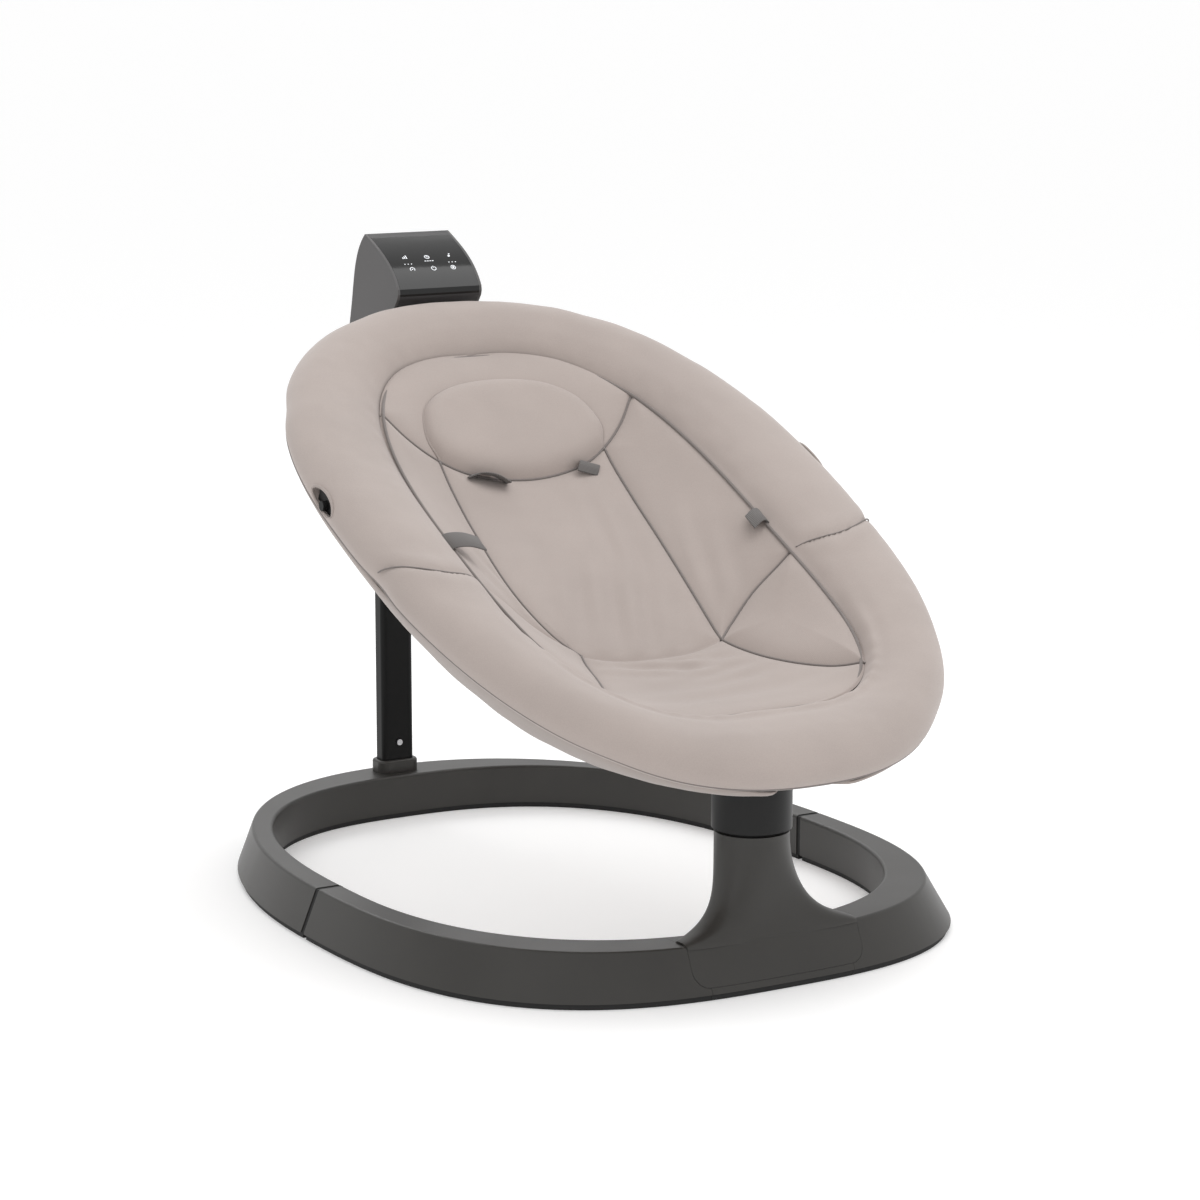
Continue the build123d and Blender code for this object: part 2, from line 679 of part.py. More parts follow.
def seat_nodes():
    screws = seat_screws()
    upper = upper_tube(TUBE_RADIUS) - upper_tube(TUBE_RADIUS - TUBE_WALL)
    lower = lower_tube(TUBE_RADIUS) - lower_tube(TUBE_RADIUS - TUBE_WALL)
    upper -= slab(-300, 300, -10, SEAT_JOINT_V + 1, -20, 20)
    lower -= slab(-300, 300, SEAT_JOINT_V - 1, 200, -20, 20)
    sling = bowl(SLING_LEVELS)
    sling -= bowl(SLING_LEVELS, SLING_THICKNESS, SLING_THICKNESS)
    liner = bowl(HOLLOW_LEVELS, -LINER_THICKNESS, -LINER_THICKNESS)
    liner += Pos(0, 0, LINER_THICKNESS) * liner
    liner = (liner & below(SLING_LEVELS[0][0])) - bowl(HOLLOW_LEVELS)
    back = Polyline((-84, 158), (-80, -96), (80, -96), (84, 158), close=True)
    front = Polyline((-74, -102), (-90, -250), (90, -250), (74, -102), close=True)
    pillow = Ellipse(80, 52).edges()
    headrest = [Pos(0, 216) * edge for edge in pillow]
    leaf = lens_outline(((88, -100), (158, -236)), ((160, -140), (100, -190)))
    bolster = hollow_layer(14, leaf)
    right_joint = ring_joint()
    button = ring_button()
    shoulder = strap(26, 58, 146, -22, -8)
    waist = strap(34, 158, -4, -4, 18)
    return {
        "upper_ring_tube": SEAT * upper - screws,
        "lower_ring_tube": SEAT * lower - screws,
        "left_ring_joint": SEAT * mirrored(right_joint),
        "right_ring_joint": SEAT * right_joint,
        "left_ring_button": SEAT * mirrored(button),
        "right_ring_button": SEAT * button,
        "rear_swing_hub": rear_swing_hub() - screws,
        "front_swing_arm": front_swing_arm() - screws,
        "front_pivot_bush": front_pivot_bush(),
        "seat_screws": screws,
        "rim_cover": rim_cover(),
        "seat_sling": SEAT * sling,
        "seat_liner": SEAT * liner,
        "back_panel": SEAT * hollow_layer(7, back),
        "seat_panel": SEAT * hollow_layer(7, front),
        "headrest_pillow": SEAT * hollow_layer(15, headrest),
        "right_leg_bolster": SEAT * bolster,
        "left_leg_bolster": SEAT * mirrored(bolster),
        "right_shoulder_strap": SEAT * shoulder,
        "left_shoulder_strap": SEAT * mirrored(shoulder),
        "right_waist_strap": SEAT * waist,
        "left_waist_strap": SEAT * mirrored(waist),
    }


def write_parts():
    nodes = {**base_nodes(), **head_nodes(), **seat_nodes()}
    nodes["front_drum"] = front_drum()
    nodes["front_pivot_yoke"] = front_pivot_yoke()
    nodes["front_pivot_pin"] = front_pivot_pin()
    nodes["post_snap_button"] = post_snap_button()
    os.makedirs("parts", exist_ok=True)
    for name, shape in nodes.items():
        export_step(Pos(0, FRAME_SHIFT_Y, 0) * shape, f"parts/{name}.step")


if __name__ == "__main__":
    write_parts()
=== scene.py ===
import json
import math

import bmesh
import bpy
import numpy as np
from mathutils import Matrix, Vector, noise
from mathutils.bvhtree import BVHTree


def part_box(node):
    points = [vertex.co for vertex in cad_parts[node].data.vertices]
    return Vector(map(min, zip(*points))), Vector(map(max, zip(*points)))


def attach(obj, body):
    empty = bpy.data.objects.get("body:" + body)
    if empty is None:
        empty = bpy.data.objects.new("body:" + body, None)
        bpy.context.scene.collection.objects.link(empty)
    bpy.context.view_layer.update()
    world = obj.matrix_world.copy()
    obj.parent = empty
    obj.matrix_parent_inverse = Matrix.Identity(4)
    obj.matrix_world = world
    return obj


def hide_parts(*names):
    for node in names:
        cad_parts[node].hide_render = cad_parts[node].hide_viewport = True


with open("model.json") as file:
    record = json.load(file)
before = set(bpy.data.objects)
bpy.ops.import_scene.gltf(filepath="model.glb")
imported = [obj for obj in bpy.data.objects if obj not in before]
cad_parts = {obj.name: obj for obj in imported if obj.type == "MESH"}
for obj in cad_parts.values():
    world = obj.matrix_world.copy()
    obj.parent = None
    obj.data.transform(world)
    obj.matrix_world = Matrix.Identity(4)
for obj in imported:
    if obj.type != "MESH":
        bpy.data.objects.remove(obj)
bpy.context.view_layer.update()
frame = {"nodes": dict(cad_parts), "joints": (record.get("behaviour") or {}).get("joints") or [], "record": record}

MM = 0.001
SEAT_BODY = "seat"

# ------------------------------------------------------------------ seat frame
# The seat has its own axes: u across, v up the slope towards the head end, and w
# square to the rim.  Sizes in them are in millimetres, as on a pattern sheet.

SWING = next(j for j in frame["joints"] if j["name"] == "swing")
PIVOT = np.array(SWING["pos_m"]) * 1000
SEAT_CENTRE = PIVOT + np.array([0.0, 259.0, 221.0])
SEAT_TILT = math.radians(26.0)
AXIS_U = np.array([1.0, 0.0, 0.0])
AXIS_V = np.array([0.0, math.cos(SEAT_TILT), math.sin(SEAT_TILT)])
AXIS_W = np.array([0.0, -math.sin(SEAT_TILT), math.cos(SEAT_TILT)])

# Outlines: half width, front reach, rear reach, front and rear exponent, centre v.
RIM = (290.5, 472.0, 359.0, 2.4, 2.25, 54.0)
OPENING = (182.0, 313.0, 326.0, 3.4, 2.7, 0.0)


def to_world(uvw):
    """Seat coordinates in millimetres to the row frame in metres."""
    uvw = np.asarray(uvw, dtype=float)
    point = uvw[..., 0:1] * AXIS_U + uvw[..., 1:2] * AXIS_V + uvw[..., 2:3] * AXIS_W
    return (point + SEAT_CENTRE) * MM


def outline(shape, angle, inset=0.0):
    """Points of a two-part superellipse, as arrays u and v."""
    half_width, front, rear, front_power, rear_power, centre = shape
    c, s = np.cos(angle), np.sin(angle)
    power = np.where(s < 0, 2 / front_power, 2 / rear_power)
    reach = np.where(s < 0, front, rear) - inset
    u = (half_width - inset) * np.sign(c) * np.abs(c) ** power
    v = centre + reach * np.sign(s) * np.abs(s) ** power
    return u, v


def even_angles(shape, count):
    """Angles that give evenly spaced points round an outline."""
    fine = np.linspace(0, 2 * math.pi, 4001)
    u, v = outline(shape, fine)
    length = np.concatenate([[0], np.cumsum(np.hypot(np.diff(u), np.diff(v)))])
    return np.interp(np.linspace(0, length[-1], count, endpoint=False), length, fine)


def smooth_step(x):
    x = np.clip(x, 0, 1)
    return x * x * (3 - 2 * x)


def fbm(points, scale, octaves=3, seed=0.0):
    """Soft noise at each point, about -1 to 1; scale is in millimetres."""
    flat = np.asarray(points, dtype=float).reshape(-1, 3) / scale
    values = [
        noise.fractal((p[0] + seed, p[1] + seed * 0.7, p[2]), 1.0, 2.0, octaves)
        for p in flat
    ]
    return np.array(values).reshape(np.shape(points)[:-1])


# -------------------------------------------------------------- mesh helpers


def new_object(name, vertices, faces, smooth=True):
    mesh = bpy.data.meshes.new(name)
    mesh.from_pydata([tuple(v) for v in vertices], [], faces)
    mesh.validate()
    bm = bmesh.new()
    bm.from_mesh(mesh)
    bmesh.ops.recalc_face_normals(bm, faces=bm.faces)
    bm.to_mesh(mesh)
    bm.free()
    for polygon in mesh.polygons:
        polygon.use_smooth = smooth
    obj = bpy.data.objects.new(name, mesh)
    bpy.context.collection.objects.link(obj)
    return obj


def grid_faces(rows, columns, wrap_rows=False, wrap_columns=False):
    faces = []
    for i in range(rows if wrap_rows else rows - 1):
        for j in range(columns if wrap_columns else columns - 1):
            a, b = i, (i + 1) % rows
            c, d = j, (j + 1) % columns
            faces.append((a * columns + c, b * columns + c, b * columns + d, a * columns + d))
    return faces


def grid_object(name, points, wrap_rows=False, wrap_columns=False):
    """A sheet or torus through a rows x columns x 3 array of seat coordinates."""
    rows, columns = points.shape[:2]
    faces = grid_faces(rows, columns, wrap_rows, wrap_columns)
    return new_object(name, to_world(points).reshape(-1, 3), faces)


def tube(name, centre_line, radius, sides=10, closed=True):
    """A round tube along seat coordinates, with the w axis as its guide."""
    line = np.asarray(centre_line, dtype=float)
    if closed:
        tangent = np.roll(line, -1, 0) - np.roll(line, 1, 0)
    else:
        tangent = np.gradient(line, axis=0)
    tangent /= np.linalg.norm(tangent, axis=1, keepdims=True)
    side = np.cross(tangent, (0.0, 0.0, 1.0))
    side /= np.linalg.norm(side, axis=1, keepdims=True)
    up = np.cross(side, tangent)
    turn = np.linspace(0, 2 * math.pi, sides, endpoint=False)
    ring = side[:, None] * np.cos(turn)[:, None] + up[:, None] * np.sin(turn)[:, None]
    points = line[:, None] + radius * ring
    obj = grid_object(name, points, wrap_rows=closed, wrap_columns=True)
    if not closed:
        cap_ends(obj)
    return obj


def cap_ends(obj):
    bm = bmesh.new()
    bm.from_mesh(obj.data)
    open_edges = [edge for edge in bm.edges if edge.is_boundary]
    bmesh.ops.holes_fill(bm, edges=open_edges, sides=0)
    bmesh.ops.recalc_face_normals(bm, faces=bm.faces)
    bm.to_mesh(obj.data)
    bm.free()


def modifier(obj, kind, **settings):
    made = obj.modifiers.new(kind.title(), kind)
    for key, value in settings.items():
        setattr(made, key, value)
    return made


def distance_to_line(u, v, line):
    """Distance from each (u, v) to an open line of points."""
    best = np.full(np.shape(u), 1e9)
    for (ax, ay), (bx, by) in zip(line[:-1], line[1:]):
        dx, dy = bx - ax, by - ay
        t = np.clip(((u - ax) * dx + (v - ay) * dy) / (dx * dx + dy * dy), 0, 1)
        best = np.minimum(best, np.hypot(u - ax - t * dx, v - ay - t * dy))
    return best


def curve_through(points, count=24):
    """A smooth line through a few points (Catmull-Rom)."""
    p = np.array(points, dtype=float)
    p = np.vstack([2 * p[0] - p[1], p, 2 * p[-1] - p[-2]])
    out = []
    for i in range(1, len(p) - 2):
        for t in np.linspace(0, 1, count, endpoint=False):
            out.append(
                0.5 * (2 * p[i] + (p[i + 1] - p[i - 1]) * t
                       + (2 * p[i - 1] - 5 * p[i] + 4 * p[i + 1] - p[i + 2]) * t ** 2
                       + (3 * p[i] - p[i - 1] - 3 * p[i + 1] + p[i + 2]) * t ** 3)
            )
    out.append(p[-2])
    return np.array(out)


# ----------------------------------------------------------------- materials


class Shader:
    """Short-hand for a node tree with one Principled BSDF."""

    def __init__(self, name, colour, roughness, **sockets):
        self.material = bpy.data.materials.new(name)
        self.material.use_nodes = True
        self.tree = self.material.node_tree
        self.bsdf = self.tree.nodes["Principled BSDF"]
        self.bsdf.inputs["Base Color"].default_value = (*colour, 1)
        self.bsdf.inputs["Roughness"].default_value = roughness
        for key, value in sockets.items():
            label = key.replace("_", " ").title().replace("Ior", "IOR")
            self.bsdf.inputs[label].default_value = value

    def node(self, kind, **settings):
        made = self.tree.nodes.new(kind)
        for key, value in settings.items():
            if key in made.inputs:
                made.inputs[key].default_value = value
            else:
                setattr(made, key, value)
        return made

    def link(self, source, output, target, socket):
        self.tree.links.new(source.outputs[output], target.inputs[socket])

    def position(self, rotation=(0, 0, 0), scale=(1, 1, 1)):
        """Object coordinates in metres, turned and scaled."""
        source = self.node("ShaderNodeTexCoord")
        mapping = self.node("ShaderNodeMapping")
        mapping.inputs["Rotation"].default_value = rotation
        mapping.inputs["Scale"].default_value = scale
        self.link(source, "Object", mapping, "Vector")
        return mapping

    def noise(self, scale, detail=3.0, place=None):
        made = self.node("ShaderNodeTexNoise", Scale=scale, Detail=detail)
        self.link(place or self.position(), "Vector", made, "Vector")
        return made

    def ramp(self, source, output, stops):
        made = self.node("ShaderNodeValToRGB")
        elements = made.color_ramp.elements
        while len(elements) < len(stops):
            elements.new(0.5)
        for element, (place, colour) in zip(elements, stops):
            element.position = place
            element.color = (*colour, 1)
        self.link(source, output, made, "Fac")
        return made

    def bump(self, source, output, distance, strength=1.0, before=None):
        made = self.node("ShaderNodeBump", Strength=strength, Distance=distance)
        self.link(source, output, made, "Height")
        if before is not None:
            self.link(before, "Normal", made, "Normal")
        self.link(made, "Normal", self.bsdf, "Normal")
        return made

    def mix(self, first, second, factor=0.5, mode="MULTIPLY"):
        made = self.node("ShaderNodeMix", data_type="RGBA", blend_type=mode)
        made.inputs[0].default_value = factor
        self.tree.links.new(first, made.inputs[6])
        self.tree.links.new(second, made.inputs[7])
        return made


def shade(colour, factor):
    return tuple(c * factor for c in colour)


def fabric_material(name, colour, thread=1.1, sheen=0.25):
    """A plain weave whose threads run along u and v of the seat."""
    shader = Shader(name, colour, 0.88, sheen_weight=sheen, sheen_roughness=0.5)
    turn = (-SEAT_TILT, 0, 0)
    place = shader.position(turn)
    waves = []
    for direction in ("X", "Y"):
        wave = shader.node(
            "ShaderNodeTexWave", wave_type="BANDS", bands_direction=direction,
            Scale=math.pi / 10 / (thread * MM), Distortion=1.2, Detail=1.0,
        )
        wave.inputs["Detail Scale"].default_value = 2.0
        shader.link(place, "Vector", wave, "Vector")
        waves.append(wave)
    weave = shader.mix(waves[0].outputs["Color"], waves[1].outputs["Color"], 0.5, "DIFFERENCE")
    fuzz = shader.noise(900.0, 4.0)
    first = shader.bump(weave, 2, 0.00012, 0.5)
    shader.bump(fuzz, "Fac", 0.00025, 0.35, first)
    cloud = shader.noise(9.0, 3.0)
    tint = shader.ramp(cloud, "Fac", [(0.3, shade(colour, 0.95)), (0.7, shade(colour, 1.04))])
    speck = shader.ramp(fuzz, "Fac", [(0.3, (0.90, 0.90, 0.90)), (0.65, (1, 1, 1))])
    colour_out = shader.mix(tint.outputs["Color"], speck.outputs["Color"], 0.6)
    shader.tree.links.new(colour_out.outputs[2], shader.bsdf.inputs["Base Color"])
    return shader.material


def plastic_material(name, colour, roughness, grain=0.00006, grain_scale=900.0, **sockets):
    """Moulded plastic: fine spark-eroded grain, faint handling marks."""
    shader = Shader(name, colour, roughness, **sockets)
    grain_noise = shader.noise(grain_scale, 2.0)
    shader.bump(grain_noise, "Fac", grain, 0.5)
    cloud = shader.noise(14.0, 5.0)
    tint = shader.ramp(cloud, "Fac", [(0.3, shade(colour, 0.92)), (0.75, shade(colour, 1.08))])
    shader.link(tint, "Color", shader.bsdf, "Base Color")
    rough = shader.node("ShaderNodeMapRange")
    rough.inputs["To Min"].default_value = max(roughness - 0.05, 0.02)
    rough.inputs["To Max"].default_value = roughness + 0.06
    shader.link(cloud, "Fac", rough, "Value")
    shader.link(rough, "Result", shader.bsdf, "Roughness")
    return shader.material


def webbing_material(name, colour):
    shader = Shader(name, colour, 0.8, sheen_weight=0.15)
    place = shader.position((-SEAT_TILT, 0, 0))
    rib = shader.node(
        "ShaderNodeTexWave", wave_type="BANDS", bands_direction="X",
        Scale=math.pi / 10 / (1.6 * MM), Distortion=0.4,
    )
    shader.link(place, "Vector", rib, "Vector")
    shader.bump(rib, "Fac", 0.0003, 0.7)
    # The colour follows the ribs of the bump, darker in the grooves and lighter on the crests: painted shade and
    # painted highlight.
    tint = shader.ramp(rib, "Fac", [(0.0, shade(colour, 0.7)), (1.0, shade(colour, 1.15))])
    shader.link(tint, "Color", shader.bsdf, "Base Color")
    return shader.material


GREIGE = (0.41, 0.350, 0.322)
FABRIC = fabric_material("seat_fabric", GREIGE)
# A copy of the seat fabric darkened to 0.86: painted shade, used on the sling under the rim, the window bindings
# and the headrest seam.
SHADED_FABRIC = fabric_material("sling_fabric_painted_shade", shade(GREIGE, 0.86))
PIPING = fabric_material("piping_fabric", (0.20, 0.175, 0.165), thread=0.8)
WEBBING = webbing_material("webbing", (0.135, 0.125, 0.12))
RING_PLASTIC = plastic_material("ring_plastic", (0.034, 0.032, 0.029), 0.40,
                                specular_ior_level=0.4)
INNER_PLASTIC = plastic_material("inner_plastic", (0.008, 0.008, 0.008), 0.5,
                                 specular_ior_level=0.2)
RUBBER = plastic_material("rubber", (0.012, 0.012, 0.012), 0.75, 0.0002, 500.0)
BLACK_METAL = plastic_material("black_coat", (0.005, 0.005, 0.005), 0.38,
                               specular_ior_level=0.16)
HEAD_PLASTIC = plastic_material("head_plastic", (0.034, 0.033, 0.034), 0.48)
DRUM_PLASTIC = plastic_material("drum_plastic", (0.010, 0.010, 0.010), 0.42,
                                specular_ior_level=0.25)
CHEEK_PLASTIC = plastic_material("cheek_plastic", (0.075, 0.072, 0.072), 0.5)
GLOSS = plastic_material("gloss_panel", (0.004, 0.004, 0.004), 0.12, 0.00001, 60.0,
                         specular_ior_level=0.4, coat_weight=0.1)
GEAR = plastic_material("acetal", (0.72, 0.70, 0.64), 0.4)
BOARD = plastic_material("solder_mask", (0.02, 0.13, 0.05), 0.35)
CONE = plastic_material("speaker_cone", (0.03, 0.03, 0.03), 0.8, 0.0002, 400.0)
STEEL = plastic_material("steel", (0.55, 0.55, 0.56), 0.28, 0.00002, 700.0, metallic=1.0)

SLOT_MATERIALS = {
    "ring_plastic": RING_PLASTIC,
    "inner_plastic": INNER_PLASTIC,
    "rubber": RUBBER,
    "black_metal": BLACK_METAL,
    "steel": STEEL,
    "head_plastic": HEAD_PLASTIC,
    "gloss_panel": GLOSS,
    "gear_plastic": GEAR,
    "circuit_board": BOARD,
    "speaker_cone": CONE,
    "seat_fabric": FABRIC,
    "webbing": WEBBING,
}

# Nodes whose finish differs from the rest of their slot.
NODE_MATERIALS = {
    "front_drum": DRUM_PLASTIC,
    "head_left_cheek": CHEEK_PLASTIC,
    "head_right_cheek": CHEEK_PLASTIC,
}


def finish_cad_nodes():
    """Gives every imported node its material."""
    for entry in frame["record"]["subparts"]:
        obj = frame["nodes"][entry["node"]]
        material = SLOT_MATERIALS[entry["material_slot"]]
        material = NODE_MATERIALS.get(entry["node"], material)
        obj.data.materials.clear()
        obj.data.materials.append(material)


def dress(obj, material, body=SEAT_BODY):
    obj.data.materials.clear()
    obj.data.materials.append(material)
    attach(obj, body)
    return obj


# ----------------------------------------------------------------- seat hollow

# Depth of the hollow along the middle line: (v, depth below the rim plane).
MIDDLE_DEPTH = np.array((
    (-325, 1), (-313, 4), (-290, 15), (-250, 36), (-190, 56), (-150, 69), (-118, 75),
    (-60, 72), (29, 65), (100, 60), (161, 51), (230, 30), (276, 13), (326, 3), (340, 1),
), dtype=float)
MIDDLE_BLUR = (-18, -9, 0, 9, 18)
EDGE_DEPTH = 11.0
WALL_POWER = 3.2


def half_width_at(v):
    """Half the width of the opening at v."""
    half_width, front, rear, front_power, rear_power, _ = OPENING
    reach = np.where(v < 0, front, rear)
    power = np.where(v < 0, front_power, rear_power)
    inside = np.clip(1 - (np.abs(v) / reach) ** power, 1e-4, 1)
    return half_width * inside ** (1 / power)


def hollow(u, v):
    """Height w of the hollow's surface, before any padding."""
    middle = sum(
        np.interp(v + shift, MIDDLE_DEPTH[:, 0], MIDDLE_DEPTH[:, 1])
        for shift in MIDDLE_BLUR
    ) / len(MIDDLE_BLUR)
    edge = EDGE_DEPTH * np.clip(1 - (v / 320.0) ** 2, 0.1, 1)
    r = np.clip(np.abs(u) / half_width_at(v), 0, 1)
    return -(middle - (middle - edge) * r ** WALL_POWER)


# Seam lines between the liner's panels; those on the sides are mirrored.
HEAD_SEAM = curve_through([
    (-149, 231), (-127, 206), (-98, 184), (-60, 167), (0, 158),
    (60, 167), (98, 184), (127, 206), (149, 231),
])
PANEL_SEAM = curve_through([(99, 184), (97, 84), (90, -30), (82, -119)])
LEFT_PANEL_SEAM = curve_through([(-99, 184), (-107, 90), (-113, -10), (-102, -80), (-82, -119)])
BOLSTER_BACK = curve_through([(82, -119), (104, -100), (140, -75), (180, -62)])
BOLSTER_FRONT = curve_through([(82, -119), (103, -184), (129, -236), (149, -260)])
CREASE = curve_through([(-82, -119), (-40, -129), (0, -131), (40, -129), (82, -119)])
PILLOW_TOP = curve_through([
    (98, 184), (105, 210), (91, 248), (55, 273), (0, 281),
    (-55, 273), (-91, 248), (-105, 210), (-98, 184),
])


def mirrored_line(line):
    return np.asarray(line)[::-1] * np.array([-1.0, 1.0])


def opening_arc(start, end, inset=0.0, count=160):
    """Part of the opening's outline between two points on it, at u > 0."""
    u, v = outline(OPENING, np.linspace(-math.pi / 2, math.pi / 2, 1500), inset)
    part = np.stack([u, v], -1)
    part = part[(v > min(start, end)) & (v < max(start, end))]
    if start > end:
        part = part[::-1]
    return part[:: max(1, len(part) // count)]


def closed_edge(*lines, count=200):
    """One evenly spaced closed outline from several lines end to end."""
    path = np.concatenate([np.asarray(line, dtype=float) for line in lines])
    keep = np.concatenate([[True], np.hypot(*np.diff(path, axis=0).T) > 1e-6])
    path = path[keep]
    loop = np.vstack([path, path[:1]])
    length = np.concatenate([[0], np.cumsum(np.hypot(*np.diff(loop, axis=0).T))])
    at = np.linspace(0, length[-1], count, endpoint=False)
    return np.stack([np.interp(at, length, loop[:, 0]), np.interp(at, length, loop[:, 1])], -1)


def edge_distance(u, v, edge):
    return distance_to_line(u, v, np.vstack([edge, edge[:1]]))


def wrinkles(u, v, centre, reach, direction, pitch, height):
    """A patch of soft folds round a point; the folds run across direction."""
    du, dv = u - centre[0], v - centre[1]
    patch = np.exp(-(du / reach[0]) ** 2 - (dv / reach[1]) ** 2)
    angle = math.radians(direction)
    along = du * math.cos(angle) + dv * math.sin(angle)
    across = -du * math.sin(angle) + dv * math.cos(angle)
    wave = np.sin(2 * math.pi * along / pitch + 0.9 * np.sin(across / (2.4 * pitch)))
    return height * patch * wave


# Each panel: outline, how far it swells, how fast the swelling rises from its seam
# and its folds, as (centre, reach, direction, pitch, height).
PILLOW_END = len(HEAD_SEAM) // 4
PILLOW_FOOT = HEAD_SEAM[PILLOW_END:-PILLOW_END]
WING = closed_edge(
    PANEL_SEAM, BOLSTER_BACK, opening_arc(-62, 231, -2), HEAD_SEAM[::-1][:PILLOW_END]
)
HEAD_ARC = opening_arc(231, 327, -2)
HEAD_PANEL = closed_edge(HEAD_SEAM, HEAD_ARC, mirrored_line(HEAD_ARC))
PILLOW = closed_edge(PILLOW_FOOT, PILLOW_TOP)
LEFT_WING = closed_edge(
    LEFT_PANEL_SEAM, mirrored_line(BOLSTER_BACK)[::-1],
    mirrored_line(opening_arc(-62, 231, -2))[::-1], HEAD_SEAM[:PILLOW_END]
)
BACK = closed_edge(PILLOW_FOOT, PANEL_SEAM, CREASE[::-1], LEFT_PANEL_SEAM[::-1])
FOOT_ARC = opening_arc(-260, -314, -2)
SEAT_FRONT = closed_edge(
    CREASE, BOLSTER_FRONT, FOOT_ARC, mirrored_line(FOOT_ARC), mirrored_line(BOLSTER_FRONT)
)
BOLSTER = closed_edge(BOLSTER_BACK, opening_arc(-62, -260, -2), BOLSTER_FRONT[::-1])

WING_FOLDS = (
    ((120, -30), (26, 80), -20, 30, 1.5),
)
BACK_FOLDS = (
    ((0, -55), (70, 75), -26, 36, 2.6),
    ((45, 60), (26, 80), -14, 32, 1.3),
)
SEAT_FOLDS = (
    ((-10, -158), (60, 26), 70, 30, 2.8),
    ((35, -185), (50, 36), 104, 26, 1.8),
    ((0, -245), (120, 40), 92, 40, 1.2),
)


def swell(u, v, edge, height, spread):
    """Wadding under cloth: nothing at the seam, full a little way in."""
    rise = 1 - np.exp(-edge_distance(u, v, edge) / spread)
    return height * rise


# A panel is a set of rings from its middle (0) to its seam (1), closer at the seam.
PANEL_RINGS = np.concatenate([np.linspace(0.01, 0.9, 44), np.linspace(0.92, 1.0, 9)])[:, None]
PANEL_THICKNESS = 6.0
SEAM_MARGIN = 14.0
LUMP_HEIGHT, LUMP_SIZE = 0.8, 60.0


def make_panel(name, node, edge, height, spread, folds=(), fill=0.5, under=None):
    """One padded panel, closed underneath, on the hollow or on another panel."""
    centre = edge.mean(0)
    u = centre[0] + PANEL_RINGS * (edge[:, 0] - centre[0])
    v = centre[1] + PANEL_RINGS * (edge[:, 1] - centre[1])
    floor = hollow(u, v)
    if under is not None:
        floor = floor + swell(u, v, *under)
    puff = swell(u, v, edge, height, spread)
    fade = smooth_step(edge_distance(u, v, edge) / SEAM_MARGIN)
    lift = puff + sum(wrinkles(u, v, *fold) for fold in folds) * fade
    rough = np.stack([u, v, floor], -1)
    lift = lift + LUMP_HEIGHT * fbm(rough, LUMP_SIZE, 2, 3.0) * fade
    upper = np.stack([u, v, floor + lift], -1)
    depth = PANEL_THICKNESS * smooth_step((1 - PANEL_RINGS) / 0.05)
    lower = np.stack([u, v, floor - depth], -1)[::-1]
    panel = grid_object(name, np.concatenate([upper, lower], 0), wrap_columns=True)
    close_rings(panel, len(edge), (0, len(panel.data.vertices) - len(edge)))
    dress(panel, FABRIC)
    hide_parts(node)
    return panel


def close_rings(obj, count, starts):
    """Fills rings of count vertices, given the index each one starts at."""
    bm = bmesh.new()
    bm.from_mesh(obj.data)
    bm.verts.ensure_lookup_table()
    for start in starts:
        bmesh.ops.contextual_create(bm, geom=[bm.verts[start + i] for i in range(count)])
    bmesh.ops.recalc_face_normals(bm, faces=bm.faces)
    bm.to_mesh(obj.data)
    bm.free()


def mirror_folds(folds):
    return tuple(
        ((-centre[0], centre[1]), reach, 180 - direction, pitch, height)
        for centre, reach, direction, pitch, height in folds
    )


HEAD_SWELL = (HEAD_PANEL, 7.0, 9.0)


SEAM_RADIUS = 1.2
HEADREST_SEAM_RADIUS = 1.0
HEADREST_SEAM_LIFT = 0.4


def make_panels():
    make_panel("head_surround", "seat_liner", *HEAD_SWELL)
    make_panel("right_wing", "seat_liner", WING, 8.0, 10.0, WING_FOLDS)
    make_panel("left_wing", "seat_liner", LEFT_WING, 8.0, 10.0, mirror_folds(WING_FOLDS))
    make_panel("back_pad", "back_panel", BACK, 7.0, 11.0, BACK_FOLDS, 0.4)
    make_panel("seat_pad", "seat_panel", SEAT_FRONT, 8.0, 12.0, SEAT_FOLDS, 0.4)
    make_panel("right_bolster", "right_leg_bolster", BOLSTER, 15.0, 13.0, (), 0.8)
    left = mirrored_line(BOLSTER)
    make_panel("left_bolster", "left_leg_bolster", left, 15.0, 13.0, (), 0.8)
    make_panel("headrest", "headrest_pillow", PILLOW, 12.0, 6.0, (), 0.7, under=HEAD_SWELL)
    make_panel_seams()


def make_panel_seams():
    """The piping sewn into the joints between the liner's panels."""
    seams = {
        "head_seam": HEAD_SEAM,
        "right_panel_seam": PANEL_SEAM,
        "left_panel_seam": LEFT_PANEL_SEAM,
        "right_bolster_back_seam": BOLSTER_BACK,
        "left_bolster_back_seam": mirrored_line(BOLSTER_BACK),
        "right_bolster_front_seam": BOLSTER_FRONT,
        "left_bolster_front_seam": mirrored_line(BOLSTER_FRONT),
    }
    for name, line in seams.items():
        w = hollow(line[:, 0], line[:, 1]) + SEAM_RADIUS
        dress(tube(name, np.column_stack([line, w]), SEAM_RADIUS, 8, False), PIPING)
    u, v = PILLOW_TOP.T
    w = hollow(u, v) + swell(u, v, *HEAD_SWELL) + HEADREST_SEAM_LIFT
    line = np.column_stack([PILLOW_TOP, w])
    # The headrest seam uses the darkened fabric copy: painted shade along the pillow's top edge.
    dress(tube("headrest_seam", line, HEADREST_SEAM_RADIUS, 8, False), SHADED_FABRIC)


# ------------------------------------------------------------------------ rim

